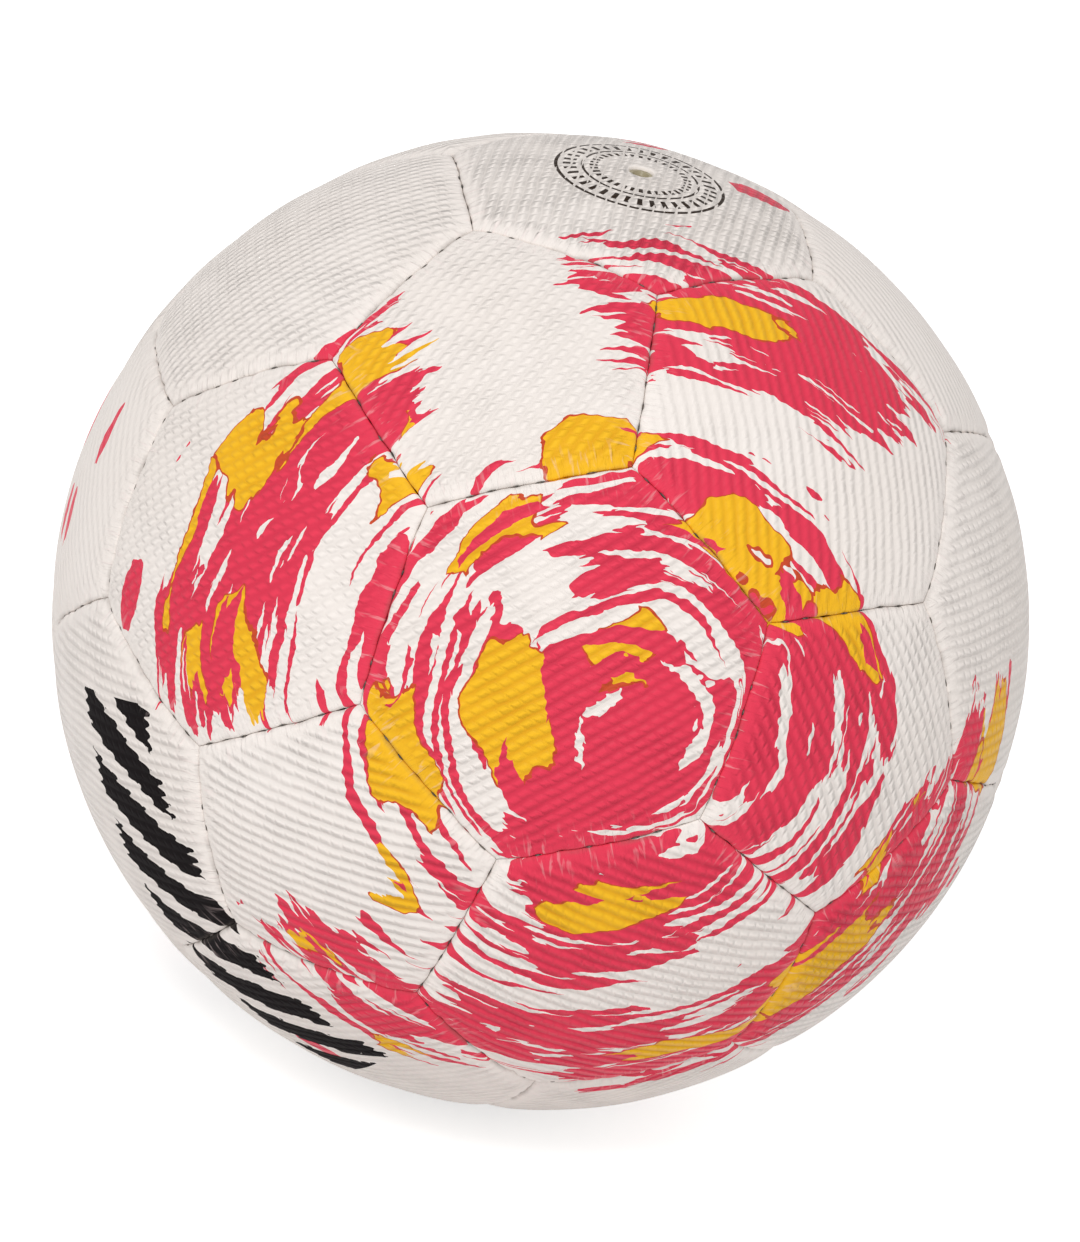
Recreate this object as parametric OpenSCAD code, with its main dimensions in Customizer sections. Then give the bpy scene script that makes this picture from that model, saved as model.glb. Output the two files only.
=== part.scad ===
// Hand-stitched handball: twelve pentagon and twenty hexagon panels sewn round an inflated bladder.
// The origin is the ball's centre, +Z runs out through the valve, and a pentagon panel faces -Y below it.

/* [Ball] */
// Outside diameter, 590 mm round
ball_d = 188; // [176:1:192]
// Gap between the turned-in edges of two neighbouring panels
seam_gap = 0.3; // [0.2:0.05:0.5]

/* [Panel layers] */
// Thickness of the grippy face with its backing cloth
face_t = 1.6; // [1.2:0.1:2]
// Width of the bevel where the face turns down into the seam
edge_bevel = 1; // [0.6:0.1:1.3]
// How far the corners are clipped where three panels meet
corner_clip = 0.8; // [0.5:0.1:1.2]
// Depth of the turned-in seam allowance below the face
seam_allowance = 4.4; // [3.8:0.1:5]
// Thickness of the foam pad behind the face
foam_t = 2; // [1.4:0.1:2.6]
// Thickness of the laminated cloth lining behind the foam
lining_t = 1; // [0.6:0.1:1.4]
// Thickness of the glue line between two layers
glue_line = 0.05; // [0.02:0.01:0.1]

/* [Stitching] */
// Width of the waxed thread, pressed flat along the turned-in edge
thread_w = 1.1; // [1:0.05:1.3]
// Thickness of the thread there
thread_t = 0.6; // [0.5:0.05:0.8]
// Diameter of the twisted strands in a stitch hole
strand_d = 0.9; // [0.6:0.05:0.95]
// Clearance all round the thread, in its holes and beside the panel's edge
thread_gap = 0.1; // [0.05:0.05:0.15]
// Number of stitches along one seam
stitch_count = 8; // [5:1:9]
// Depth of the stitches below the face
stitch_depth = 2.6; // [2.2:0.1:2.9]
// Distance along the seam from its corner to its first stitch
corner_margin = 3.4; // [3:0.1:5]

/* [Bladder] */
// Wall of the latex bladder
bladder_wall = 0.9; // [0.7:0.1:1.4]
// Least gap between the bladder and what lies round it
bladder_gap = 0.3; // [0.2:0.05:0.4]

/* [Valve] */
// Hole in the face of the valve panel
face_hole_d = 5; // [4.8:0.1:6]
// Outside diameter of the rubber valve tube
tube_d = 9; // [8:0.25:11]
// Clearance round the valve tube in the foam, lining and rings
tube_gap = 0.25; // [0.1:0.05:0.5]
// Length of the valve tube inside the bladder
tube_reach = 6; // [4:0.5:9]
// Diameter of the moulded flange bonded inside the bladder
flange_d = 26; // [20:1:32]
// Thickness of that flange
flange_t = 1.2; // [0.8:0.1:1.6]
// Diameter of the rubber patch round the tube on the bladder's outside
patch_d = 21; // [18:1:26]
// Thickness of that patch
patch_t = 0.5; // [0.3:0.05:0.7]
// Diameter of the cloth ring that backs the valve hole behind the lining
backing_d = 24; // [18:1:30]
// Thickness of that ring
backing_t = 0.4; // [0.3:0.05:0.6]
// Diameter of the plug pressed into the tube
plug_d = 4.4; // [4:0.1:4.6]
// Clearance round the plug in its tube
plug_gap = 0.05; // [0.02:0.01:0.08]
// How far the plug's top lies below the face
plug_recess = 0.5; // [0.3:0.1:1]
// Diameter of the bulb that holds the plug's inner end
bulb_d = 6.4; // [5.6:0.2:8]
// Height of that bulb
bulb_h = 3; // [2:0.5:5]
// Diameter of the bore that guides an inflating needle
needle_bore_d = 2.5; // [2.3:0.1:2.8]
// Depth of that bore below its mouth
needle_bore_h = 6.4; // [5:0.2:8]
// Diameter of the mouth that leads the needle in
mouth_d = 3.2; // [3:0.1:3.6]
// Depth of the mouth
mouth_h = 0.7; // [0.4:0.1:1]

/* [Hidden] */
$fn = 96;

// How far a cutter passes what it cuts
overrun = 0.6;

// Shape of the ball: the seam's length on a ball of radius one, and the angles seen from its centre
golden_share = (1 + sqrt(5)) / 2;
seam_share = 2 / sqrt(9 * golden_share + 10);
function corner_share(sides) = seam_share / (2 * sin(180 / sides));
function corner_tilt(sides) = asin(corner_share(sides));
function side_tilt(sides) = atan(seam_share / (2 * tan(180 / sides)) / sqrt(1 - pow(corner_share(sides), 2)));
hex_tilt = side_tilt(6);
pent_tilt = side_tilt(5);
seam_half_angle = asin(seam_share / 2);

// Depths below the face: the turned-in edge, the stitches and the layers
ball_r = ball_d / 2;
edge_r = ball_r - seam_allowance;
stitch_r = ball_r - stitch_depth;
foam_depth = face_t + glue_line;
lining_depth = foam_depth + foam_t + glue_line;
backing_depth = lining_depth + lining_t + glue_line;
rings_depth = backing_depth + backing_t + glue_line + patch_t;

// The bladder fills what the linings, the seam allowances and the valve's rings leave
bladder_r = min(edge_r, ball_r - rings_depth) - bladder_gap;
bladder_inner_r = bladder_r - bladder_wall;

// Stitching
stitch_hole_d = strand_d + 2 * thread_gap;
thread_room = thread_t + 2 * thread_gap;
run_offset = seam_gap / 2 + face_t + thread_gap;
corner_margin_angle = asin(corner_margin / stitch_r);
stitch_span_angle = 2 * (seam_half_angle - corner_margin_angle);
function stitch_angle(i) = stitch_span_angle * (i / (stitch_count - 1) - 1 / 2);

// Heights along the valve's axis
tube_top = ball_r - foam_depth;
tube_bottom = bladder_inner_r - tube_reach;
plug_top = ball_r - plug_recess;
needle_bore_bottom = plug_top - mouth_h - needle_bore_h;
// The mouth's cone is cut on past the plug's top, and is wider there by this much
mouth_flare = (mouth_d - needle_bore_d) * overrun / mouth_h;

// Centres of the panels as directions from the ball's centre, from the top down
function from_pole(tilt, azimuth) = [sin(tilt) * cos(azimuth), sin(tilt) * sin(azimuth), cos(tilt)];
function unit(v) = v / norm(v);
upper_pentagons = [
    for (azimuth = [270, 30, 150]) from_pole(hex_tilt + pent_tilt, azimuth),
    for (azimuth = [90, 210, 330]) from_pole(3 * hex_tilt + pent_tilt, azimuth)
];
pentagon_centres = concat(upper_pentagons, [for (i = [5:-1:0]) -upper_pentagons[i]]);
// Pentagons on either side of one hexagon lie nearer to each other than this cosine says
near_pentagons = cos(2 * (hex_tilt + pent_tilt));
function close(i, j) = pentagon_centres[i] * pentagon_centres[j] > near_pentagons;
hexagon_corners = [
    for (i = [0:9]) for (j = [i + 1:10]) for (k = [j + 1:11])
        if (close(i, j) && close(j, k) && close(i, k)) [i, j, k]
];
hexagon_centres = [
    for (c = hexagon_corners) unit(pentagon_centres[c[0]] + pentagon_centres[c[1]] + pentagon_centres[c[2]])
];
// For each panel, the centre of the neighbour that its first side faces
hexagon_neighbours = [for (c = hexagon_corners) pentagon_centres[c[0]]];
beside_pentagon = cos(2 * hex_tilt);
function hexagons_beside(centre) = [for (h = hexagon_centres) if (h * centre > beside_pentagon) h];
pentagon_neighbours = [for (p = pentagon_centres) hexagons_beside(p)[0]];

// Seams between two hexagons, and between a hexagon and a pentagon, as pairs of centres
beside_hexagon = cos(3 * hex_tilt);
hexagon_seams = [
    for (i = [0:18]) for (j = [i + 1:19])
        if (hexagon_centres[i] * hexagon_centres[j] > beside_hexagon) [hexagon_centres[i], hexagon_centres[j]]
];
pentagon_seams = [for (p = pentagon_centres) for (h = hexagons_beside(p)) [h, p]];

function two_digits(i) = str(i < 10 ? "0" : "", i);
function hexagon_name(i) = i == 0 ? "valve_panel" : str("hexagon_panel_", two_digits(i + 1));
function pentagon_name(i) = str("pentagon_panel_", two_digits(i + 1));

// Turns its children so that their x and z axes lie along two directions at right angles
module set_along(x, z) {
    y = cross(z, x);
    multmatrix([
        [x[0], y[0], z[0], 0],
        [x[1], y[1], z[1], 0],
        [x[2], y[2], z[2], 0],
        [0, 0, 0, 1]
    ])
        children();
}

// Sets a panel made round the z axis on its centre, with its first side towards a neighbour
module on_ball(centre, neighbour) {
    set_along(unit(neighbour - (neighbour * centre) * centre), centre) children();
}

// Repeats its children at each side of a panel: there x runs out through the middle of the seam,
// and z stands square to the seam's plane, away from the panel
module at_sides(sides) {
    tilt = side_tilt(sides);
    for (i = [0:sides - 1])
        rotate([0, 0, i * 360 / sides])
            set_along([sin(tilt), 0, cos(tilt)], [cos(tilt), 0, -sin(tilt)])
                children();
}

// The wedge of the ball that a panel covers, its sides moved in by a distance, the first of them
// square to the x axis
module wedge(sides, inset) {
    reach = ball_r + overrun;
    apex = inset / sin(side_tilt(sides));
    rotate([0, 0, 180 / sides])
        translate([0, 0, apex])
            cylinder(r1 = 0, r2 = reach * tan(corner_tilt(sides)), h = reach, $fn = sides);
}

// A wedge whose sides clip the panel's corners
module clipped_corners(sides) {
    reach = ball_r + overrun;
    clip_tilt = corner_tilt(sides) - asin(corner_clip / ball_r);
    cylinder(r1 = 0, r2 = reach * tan(clip_tilt) / cos(180 / sides), h = reach, $fn = sides);
}

// Bevels the rim along every side, where the face turns down into the seam
module rim_bevel(sides) {
    side = -seam_gap / 2;
    reach = edge_bevel + overrun;
    half_angle = seam_half_angle + asin(edge_bevel / ball_r);
    at_sides(sides)
        rotate_extrude(angle = 2 * half_angle, start = -half_angle)
            polygon([
                [ball_r - reach, side + overrun],
                [ball_r + overrun, side - reach],
                [ball_r + overrun, side + overrun]
            ]);
}

// Holes through the turned-in edge along every side
module stitch_holes(sides) {
    at_sides(sides)
        for (i = [0:stitch_count - 1])
            rotate([0, 0, stitch_angle(i)])
                translate([stitch_r, 0, -seam_gap / 2 - face_t - overrun])
                    cylinder(d = stitch_hole_d, h = seam_gap / 2 + face_t + 2 * overrun);
}

// The solid wedge of a panel with its rim bevelled. Here and in the panel the spheres lie on their
// side, which keeps their poles and the line where they close away from the panel
module panel_blank(sides) {
    difference() {
        intersection() {
            rotate([90, 0, 0])
                shell(0, seam_allowance);
            wedge(sides, seam_gap / 2);
            clipped_corners(sides);
        }
        rim_bevel(sides);
    }
}

// A panel's face with its edges turned in for the seams
module panel(sides) {
    difference() {
        panel_blank(sides);
        intersection() {
            rotate([90, 0, 0])
                sphere(r = ball_r - face_t);
            wedge(sides, seam_gap / 2 + face_t);
        }
        stitch_holes(sides);
        children();
    }
}

// The shell of the ball between two depths
module shell(depth, thickness) {
    difference() {
        sphere(r = ball_r - depth);
        sphere(r = ball_r - depth - thickness);
    }
}

// A layer between two depths that fills the insides of several panels. The shell's poles are
// turned onto corners of panels, where no layer reaches, and the line where it closes runs off
// between the corners
module layer(sides, centres, neighbours, depth, thickness) {
    intersection() {
        rotate([0, corner_tilt(6), 0])
            rotate([0, 0, corner_tilt(6)])
                shell(depth, thickness);
        for (i = [0:len(centres) - 1])
            on_ball(centres[i], neighbours[i])
                wedge(sides, seam_gap / 2 + face_t + thread_room);
    }
}

module valve_tube_hole() {
    translate([0, 0, bladder_inner_r])
        cylinder(d = tube_d + 2 * tube_gap, h = ball_r - bladder_inner_r + overrun);
}

module hexagon_panel(i) {
    color("#ece7e1")
        on_ball(hexagon_centres[i], hexagon_neighbours[i])
            panel(6);
}

module valve_panel() {
    color("#e9e3dd")
        on_ball(hexagon_centres[0], hexagon_neighbours[0])
            panel(6)
                translate([0, 0, tube_top - overrun])
                    cylinder(d = face_hole_d, h = ball_r - tube_top + 2 * overrun);
}

module pentagon_panel(i) {
    color("#efeae5")
        on_ball(pentagon_centres[i], pentagon_neighbours[i])
            panel(5);
}

module valve_layer(depth, thickness) {
    difference() {
        layer(6, [hexagon_centres[0]], [hexagon_neighbours[0]], depth, thickness);
        valve_tube_hole();
    }
}

module hexagon_layer(depth, thickness) {
    others = [1:19];
    centres = [for (i = others) hexagon_centres[i]];
    neighbours = [for (i = others) hexagon_neighbours[i]];
    layer(6, centres, neighbours, depth, thickness);
}

module pentagon_layer(depth, thickness) {
    layer(5, pentagon_centres, pentagon_neighbours, depth, thickness);
}

module valve_foam_pad() {
    color("#f3efe6") valve_layer(foam_depth, foam_t);
}

module hexagon_foam_pads() {
    color("#f3efe6") hexagon_layer(foam_depth, foam_t);
}

module pentagon_foam_pads() {
    color("#f3efe6") pentagon_layer(foam_depth, foam_t);
}

module valve_lining() {
    color("#d9d0bd") valve_layer(lining_depth, lining_t);
}

module hexagon_linings() {
    color("#d9d0bd") hexagon_layer(lining_depth, lining_t);
}

module pentagon_linings() {
    color("#d9d0bd") pentagon_layer(lining_depth, lining_t);
}

// One side's run of thread, lying flat along the turned-in edge inside the panel
module thread_run(offset) {
    run_angle = stitch_span_angle + 2 * asin(thread_w / stitch_r);
    rotate_extrude(angle = run_angle, start = -run_angle / 2)
        translate([stitch_r - thread_w / 2, offset])
            square([thread_w, thread_t]);
}

// The thread of one seam: a run on either side, and the strands that cross in each pair of holes
module seam_thread(seam, first_tilt, second_tilt) {
    middle = unit(seam[0] * sin(second_tilt) + seam[1] * sin(first_tilt));
    across = unit(seam[1] - (seam[1] * middle) * middle);
    strand_reach = run_offset + thread_t / 2;
    set_along(middle, across)
        union() {
            thread_run(run_offset);
            thread_run(-run_offset - thread_t);
            for (i = [0:stitch_count - 1])
                rotate([0, 0, stitch_angle(i)])
                    translate([stitch_r, 0, -strand_reach])
                        cylinder(d = strand_d, h = 2 * strand_reach);
        }
}

module hexagon_seam_thread() {
    color("#4a4240")
        for (seam = hexagon_seams)
            seam_thread(seam, hex_tilt, hex_tilt);
}

module pentagon_seam_thread() {
    color("#4a4240")
        for (seam = pentagon_seams)
            seam_thread(seam, hex_tilt, pent_tilt);
}

module bladder() {
    color("#c9b48c")
        difference() {
            shell(ball_r - bladder_r, bladder_wall);
            translate([0, 0, bladder_inner_r - bladder_wall])
                cylinder(d = tube_d + 2 * glue_line, h = 3 * bladder_wall);
        }
}

// A ring round the valve tube that follows a sphere of a given radius
module round_ring(outer_r, thickness, diameter) {
    intersection() {
        shell(ball_r - outer_r, thickness);
        cylinder(d = diameter, h = ball_r);
    }
}

module valve_tube() {
    color("#3a3633")
        difference() {
            union() {
                translate([0, 0, tube_bottom])
                    cylinder(d = tube_d, h = tube_top - tube_bottom);
                round_ring(bladder_inner_r - glue_line, flange_t, flange_d);
            }
            translate([0, 0, tube_bottom - overrun])
                cylinder(d = plug_d + 2 * plug_gap, h = tube_top - tube_bottom + 2 * overrun);
        }
}

module valve_plug() {
    bulb_top = tube_bottom - plug_gap;
    color("#8d7f63")
        difference() {
            union() {
                translate([0, 0, bulb_top - overrun])
                    cylinder(d = plug_d, h = plug_top - bulb_top + overrun);
                translate([0, 0, bulb_top - bulb_h])
                    cylinder(d1 = plug_d, d2 = bulb_d, h = bulb_h);
            }
            translate([0, 0, needle_bore_bottom])
                cylinder(d = needle_bore_d, h = needle_bore_h + mouth_h + overrun);
            translate([0, 0, plug_top - mouth_h])
                cylinder(d1 = needle_bore_d, d2 = mouth_d + mouth_flare, h = mouth_h + overrun);
        }
}

module valve_patch() {
    color("#a8906a")
        difference() {
            round_ring(bladder_r + glue_line + patch_t, patch_t, patch_d);
            translate([0, 0, bladder_inner_r])
                cylinder(d = tube_d + 2 * glue_line, h = ball_r - bladder_inner_r);
        }
}

module valve_backing_ring() {
    color("#e6dfcd")
        difference() {
            round_ring(ball_r - backing_depth, backing_t, backing_d);
            valve_tube_hole();
        }
}

valve_panel();
for (i = [1:19]) hexagon_panel(i);
for (i = [0:11]) pentagon_panel(i);
valve_foam_pad();
hexagon_foam_pads();
pentagon_foam_pads();
valve_lining();
hexagon_linings();
pentagon_linings();
hexagon_seam_thread();
pentagon_seam_thread();
bladder();
valve_tube();
valve_plug();
valve_patch();
valve_backing_ring();
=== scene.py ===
# Hand-stitched handball: thirty-two printed grip panels, the thread in their seams, and the valve
import math

import bmesh
import bpy
import numpy as np
from mathutils import Matrix, Vector


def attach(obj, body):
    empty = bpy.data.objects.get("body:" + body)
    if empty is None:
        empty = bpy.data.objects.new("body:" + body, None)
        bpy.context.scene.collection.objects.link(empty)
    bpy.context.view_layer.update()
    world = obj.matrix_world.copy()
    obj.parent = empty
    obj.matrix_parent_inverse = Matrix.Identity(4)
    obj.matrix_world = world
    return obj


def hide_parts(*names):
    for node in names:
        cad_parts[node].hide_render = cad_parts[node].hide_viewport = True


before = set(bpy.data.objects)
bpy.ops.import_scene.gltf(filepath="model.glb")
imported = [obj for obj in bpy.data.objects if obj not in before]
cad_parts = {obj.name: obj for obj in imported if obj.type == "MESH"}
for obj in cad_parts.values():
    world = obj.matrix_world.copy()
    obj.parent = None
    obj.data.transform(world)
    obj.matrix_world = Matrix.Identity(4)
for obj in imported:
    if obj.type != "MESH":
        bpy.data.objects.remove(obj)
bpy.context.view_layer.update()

# Sizes in millimetres
MM = 0.001
BALL_R = 94
SKIN = 1.6
ROLL_R = 0.5
TURNED_IN = 3.4
INSIDE_BEND = 0.3
SEAM_HALF_GAP = 0.03

# The valve's hole as its mesh rings, each with radius and height over the face: the floor's edge, two rings
# of the wall, and the rim. From there the rings spread out and are hexagons again at the last number
HOLE_RINGS = {5: (2.36, -1.45), 6: (2.38, -0.6), 7: (2.44, -0.12), 8: (2.55, 0)}
HOLE_SPREAD = 26

# Rings of a panel's mesh, closer together in the border the nearer they lie to the seam
BORDER = 6
MIDDLE_RINGS = 34
BORDER_RINGS = 19
BORDER_CROWDING = 1.35
ROLL_BENDS = (18, 36, 54, 72, 90)
UNDERSIDE_RINGS = (6, 12, 18)
LAST_RING_SHARE = 0.8

# Stitches in a seam, and how far the first lies from a corner
STITCHES = 8
STITCH_MARGIN = 3.4

# What sewing does to a panel, each as size and reach: its face slopes and then dips to the seam, dips at the
# corners and gathers in folds near them, and every stitch presses the edge down and pulls it off the seam
SEAM_SLOPE, SLOPE_REACH = 0.45, 4.5
SEAM_DIP, DIP_REACH = 0.5, 1.9
CORNER_DIP, CORNER_REACH = 0.4, 2.6
FOLD, FOLD_REACH, FOLD_FROM_CORNER, FOLDS_PER_RADIAN = 0.1, 2.2, 3.6, 6
STITCH_REACH = 0.9
STITCH_DIP, STITCH_DIP_REACH = 0.3, 1.5
STITCH_PULL, STITCH_PULL_REACH = 0.12, 0.8

# How far the seam's line drifts and each stitch nudges it, and how far into the panel that shows
SEAM_DRIFT = 0.16
SEAM_NUDGE, NUDGE_REACH = 0.2, 1.5
WANDER_REACH = 4

# Slow swells of the padding: height, number, shortest and longest, and how far from the seam they begin
SWELL = 0.032
SWELLS = 7
SWELL_LENGTHS = (13, 34)
SWELL_FROM_SEAM = 4

# Thread that shows in the seam: depth, and half its length, width and height
THREAD_DEPTH = 1.08
THREAD_HALVES = (0.85, 0.17, 0.22)

# The grip: pitch of its rows, length of a grain, its height, how round it is across the row, how far a
# strand leans over the width of its row as a share of a grain, how far the rows bend, and where it fades in
# from the seam
RIDGE_PITCH = 2.2
GRAIN_LENGTH = 2.3
GRIP_HEIGHT = 0.6
GRAIN_ROUNDNESS = 1.6
GRAIN_SLANT = 0.5
ROW_BEND = (1.1, 0.75, 0)
GRIP_FADE = (0.5, 4.2)

# Every panel reads its own stretch of the crease pattern
CREASE_STRETCH = 60


# The ball's net: twelve pentagons and twenty hexagons, in the order and directions of the CAD nodes
GOLDEN = (1 + math.sqrt(5)) / 2
SEAM_SHARE = 2 / math.sqrt(9 * GOLDEN + 10)


def corner_share(sides):
    """How far a corner lies from its panel's axis, as a share of the radius."""
    return SEAM_SHARE / (2 * math.sin(math.pi / sides))


def side_tilt(sides):
    """Angle between a panel's centre and the middle of its side."""
    return math.atan(SEAM_SHARE / (2 * math.tan(math.pi / sides)) / math.sqrt(1 - corner_share(sides) ** 2))


def from_pole(tilt, azimuth):
    a = math.radians(azimuth)
    return np.array([math.sin(tilt) * math.cos(a), math.sin(tilt) * math.sin(a), math.cos(tilt)])


def unit(v):
    return v / np.linalg.norm(v)


def panels_of_ball():
    """Each panel's node, number of sides, centre and the direction of its first side."""
    hex_tilt, pent_tilt = side_tilt(6), side_tilt(5)
    upper = [from_pole(hex_tilt + pent_tilt, a) for a in (270, 30, 150)]
    upper += [from_pole(3 * hex_tilt + pent_tilt, a) for a in (90, 210, 330)]
    pentagons = upper + [-p for p in reversed(upper)]
    near = math.cos(2 * (hex_tilt + pent_tilt))
    close = [[p @ q > near for q in pentagons] for p in pentagons]
    trios = [(i, j, k) for i in range(10) for j in range(i + 1, 11) for k in range(j + 1, 12)
             if close[i][j] and close[j][k] and close[i][k]]
    hexagons = [unit(pentagons[i] + pentagons[j] + pentagons[k]) for i, j, k in trios]
    panels = []
    for n, (centre, trio) in enumerate(zip(hexagons, trios)):
        name = "valve_panel" if n == 0 else f"hexagon_panel_{n + 1:02d}"
        panels.append((name, 6, centre, pentagons[trio[0]]))
    for n, centre in enumerate(pentagons):
        first = next(h for h in hexagons if h @ centre > math.cos(2 * hex_tilt))
        panels.append((f"pentagon_panel_{n + 1:02d}", 5, centre, first))
    return panels


PANELS = panels_of_ball()
CENTRES = np.array([p[2] for p in PANELS])


def panel_axes(centre, neighbour):
    """A panel's own x and y directions: x runs to the middle of its first side."""
    x = unit(neighbour - (neighbour @ centre) * centre)
    return x, np.cross(centre, x)


# What the sewer's hand gives each seam: the pull of every stitch and a slight wander of the line
SEAM_HALF = BALL_R * math.asin(SEAM_SHARE / 2)
STITCH_PLACES = np.linspace(-1, 1, STITCHES) * (SEAM_HALF - STITCH_MARGIN)


def hand_of_seam(one, other):
    """What the sewer did along the seam between two panels, from stitch to stitch."""
    first, second = sorted((one, other))
    chance = np.random.default_rng(500 + 40 * first + second)
    return {
        "sign": 1 if one == first else -1,
        "pull": chance.uniform(0.35, 1.15, STITCHES),
        "shift": chance.uniform(-0.35, 0.35, STITCHES),
        "length": chance.uniform(0.6, 1.3, STITCHES),
        "seen": chance.uniform(0, 1, STITCHES) < 0.55,
        "wander": chance.uniform(-1, 1, 3),
        "side": chance.uniform(-1, 1, STITCHES),
    }


def stitch_pull(hand, along):
    """How hard the thread pulls the edge in, from 0 between stitches to about 1 at one."""
    places = STITCH_PLACES + hand["shift"]
    return sum(pull * np.exp(-((along - place) / STITCH_REACH) ** 2)
               for pull, place in zip(hand["pull"], places))


def seam_wander(hand, along):
    """How far the seam's line lies to one side of the net's, which it meets again at the corners."""
    share = along / SEAM_HALF
    a, b, c = hand["wander"]
    wave = a * np.sin(math.pi * share) + b * np.sin(2 * math.pi * share) + c * np.cos(math.pi * share / 2)
    places = STITCH_PLACES + hand["shift"]
    nudges = sum(side * np.exp(-((along - place) / NUDGE_REACH) ** 2)
                 for side, place in zip(hand["side"], places))
    return (SEAM_DRIFT * wave + SEAM_NUDGE * nudges) * (1 - share ** 4)


def seam_of(number, k):
    """The middle of a panel's side, the direction from there into the panel, and the panel beyond."""
    _, sides, centre, neighbour = PANELS[number]
    x, y = panel_axes(centre, neighbour)
    tilt = side_tilt(sides)
    a = k * 2 * math.pi / sides
    middle = math.sin(tilt) * (math.cos(a) * x + math.sin(a) * y) + math.cos(tilt) * centre
    inward = unit(centre - (centre @ middle) * middle)
    other = max((n for n in range(len(PANELS)) if n != number), key=lambda n: CENTRES[n] @ middle)
    return middle, inward, other


def rings_of(sides):
    """A panel's rings from its centre out over the rolled rim, down the turned-in edge and back under the
    skin, as distance from the seam and height over the ball's surface. Gives them, and the last ring of the
    outside."""
    middle = BALL_R * side_tilt(sides)
    top = np.linspace(middle, BORDER, MIDDLE_RINGS)[:-1]
    crowding = np.linspace(1, 0, BORDER_RINGS) ** BORDER_CROWDING
    border = SEAM_HALF_GAP + ROLL_R + (BORDER - SEAM_HALF_GAP - ROLL_R) * crowding
    bend = np.radians(ROLL_BENDS)
    distance = [*top, *border, *(SEAM_HALF_GAP + ROLL_R * (1 - np.sin(bend))), SEAM_HALF_GAP, SEAM_HALF_GAP]
    height = [*np.zeros(len(top) + len(border)), *(-ROLL_R * (1 - np.cos(bend))), -TURNED_IN / 2, -TURNED_IN]
    outer = len(distance) - 1
    distance += [SKIN, SKIN, *UNDERSIDE_RINGS, LAST_RING_SHARE * middle]
    height += [-TURNED_IN, -SKIN - INSIDE_BEND] + [-SKIN] * (len(UNDERSIDE_RINGS) + 1)
    return np.array(distance), np.array(height), outer


def flat_net(sides):
    """A flat panel of rings round its middle, closed underneath. A vertex's ring is its place outwards, and
    the last one closes the underside."""
    distance, _, outer = rings_of(sides)
    bm = bmesh.new()
    corner = bmesh.ops.create_circle(bm, cap_ends=True, segments=sides, radius=1)["verts"][0].co
    corner_turn = math.atan2(corner.y, corner.x)
    bmesh.ops.rotate(bm, verts=bm.verts, matrix=Matrix.Rotation(math.pi / sides - corner_turn, 3, "Z"))
    bmesh.ops.poke(bm, faces=bm.faces[:])
    bmesh.ops.subdivide_edges(bm, edges=bm.edges[:], cuts=outer - 1, use_grid_fill=True)
    rim = [e for e in bm.edges if e.is_boundary]
    for ring in range(outer, len(distance) - 1):
        made = bmesh.ops.extrude_edge_only(bm, edges=rim)["geom"]
        rim = [g for g in made if isinstance(g, bmesh.types.BMEdge) and g.is_boundary]
        verts = [g for g in made if isinstance(g, bmesh.types.BMVert)]
        bmesh.ops.scale(bm, verts=verts, vec=Vector([(ring + 1) / ring] * 3))
    made = bmesh.ops.extrude_edge_only(bm, edges=rim)["geom"]
    last = [g for g in made if isinstance(g, bmesh.types.BMVert)]
    bmesh.ops.pointmerge(bm, verts=last, merge_co=Vector((0, 0, -1)))
    mesh = bpy.data.meshes.new(f"net_{sides}")
    bm.to_mesh(mesh)
    bm.free()
    return mesh


def read_net(mesh, sides):
    """Every vertex's azimuth from the nearest side's middle, that side, and its ring. The underside's middle
    is ring -1."""
    _, _, outer = rings_of(sides)
    co = np.empty(len(mesh.vertices) * 3)
    mesh.vertices.foreach_get("co", co)
    co = co.reshape(-1, 3)
    azimuth = np.arctan2(co[:, 1], co[:, 0])
    step = 2 * math.pi / sides
    side = np.round(azimuth / step)
    turn = azimuth - side * step
    out = np.hypot(co[:, 0], co[:, 1]) * np.cos(turn) / math.cos(math.pi / sides)
    ring = np.round(out * outer).astype(int)
    ring[co[:, 2] < -0.5] = -1
    return turn, side.astype(int) % sides, ring


def smooth_step(low, high, x):
    t = np.clip((x - low) / (high - low), 0, 1)
    return t * t * (3 - 2 * t)


def tilt_of(away, turn, tilt):
    """Angle between a panel's centre and the points that lie so far from its side, in each direction."""
    a, b = math.cos(tilt) * np.cos(turn), math.sin(tilt)
    return np.arccos(np.clip(np.sin(away / BALL_R) / np.hypot(a, b), -1, 1)) - np.arctan2(a, b)


def sink_valve_hole(ring, turn, tilt, distance, theta, lift):
    """Turns the middle rings into the hole's floor, wall and rim, which the next ones round out into the
    hexagon."""
    floor, rim = min(HOLE_RINGS), max(HOLE_RINGS)
    floor_r, depth = HOLE_RINGS[floor]
    rim_r, _ = HOLE_RINGS[rim]
    spread = distance[0] - distance
    reach = spread[HOLE_SPREAD]
    for k in range(HOLE_SPREAD):
        here = ring == k
        if k < floor:
            radius, drop = floor_r * k / floor, depth
        elif k <= rim:
            radius, drop = HOLE_RINGS[k]
        else:
            radius = rim_r + (spread[k] - spread[rim]) * (reach - rim_r) / (reach - spread[rim])
            drop = 0
        share = smooth_step(rim, HOLE_SPREAD, k)
        theta[here] = (1 - share) * radius / BALL_R + share * tilt_of(distance[0] - radius, turn[here], tilt)
        lift[here] = drop
    return (ring >= 0) & (ring <= rim)


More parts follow.
